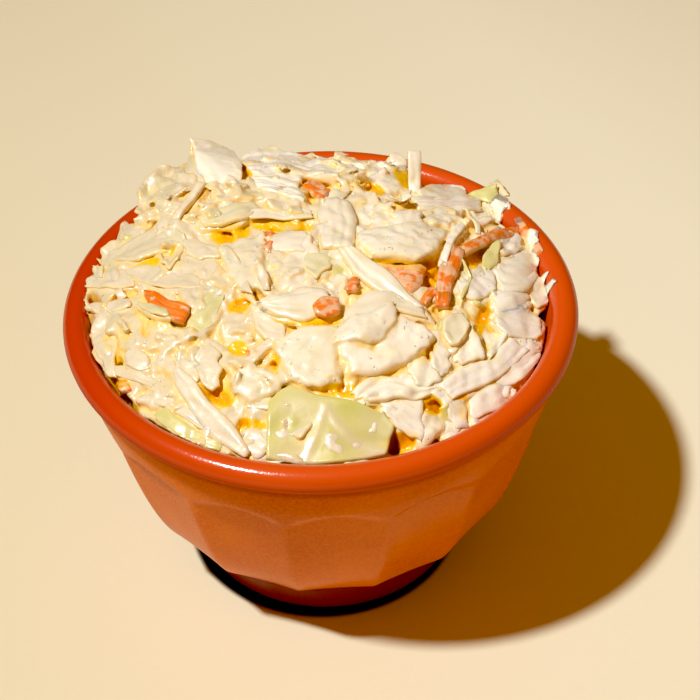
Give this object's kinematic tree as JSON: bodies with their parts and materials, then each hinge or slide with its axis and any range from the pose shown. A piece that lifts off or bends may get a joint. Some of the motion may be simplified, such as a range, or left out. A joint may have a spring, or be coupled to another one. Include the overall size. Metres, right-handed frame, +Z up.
{
  "type": "coleslaw in a bowl",
  "caption": "Creamy coleslaw of cut white cabbage and carrot, heaped above the rim of a small faceted terracotta bowl with a rolled lip and a round foot.",
  "frame": {"origin": "middle of the flat base of the bowl's foot, where it stands", "axes": "+Z up, the bowl's own axis; +Y away from the side shown, +X to its right; the heap is highest at the back left"},
  "size_m": [0.115, 0.115, 0.0889],
  "materials": {
    "terracotta": "glossy clear glaze over warm orange-brown clay",
    "coleslaw": "moist, softly shining, cream-white with pale green and orange pieces"
  },
  "bodies": {
    "root": {"bowl": "terracotta", "coleslaw": "coleslaw"}
  },
  "joints": []
}
